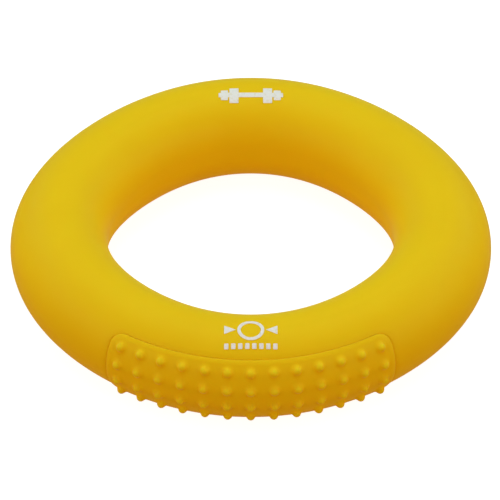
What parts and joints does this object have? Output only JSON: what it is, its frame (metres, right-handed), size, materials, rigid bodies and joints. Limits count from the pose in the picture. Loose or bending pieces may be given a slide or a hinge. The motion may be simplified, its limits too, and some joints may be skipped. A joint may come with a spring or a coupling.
{
  "type": "hand grip ring",
  "caption": "Solid silicone hand grip ring with a nearly round section, an inset knobbed grip pad on its outer side and printed marks on top.",
  "frame": {"origin": "centre of the ring, on the axis of its hole and half way up its thickness", "axes": "+Z along the ring's axis, towards the printed side; the knobbed pad faces -Y"},
  "size_m": [0.088, 0.0891, 0.0177],
  "materials": {
    "silicone_body": "matte moulded silicone, golden yellow",
    "silicone_pad": "matte moulded silicone, golden yellow, knobbed",
    "print_ink": "matte white pad-printed ink"
  },
  "bodies": {
    "root": {"ring_body": "silicone_body", "grip_pad": "silicone_pad", "dumbbell_print": "print_ink", "squeeze_print": "print_ink", "dash_print": "print_ink"}
  },
  "joints": []
}
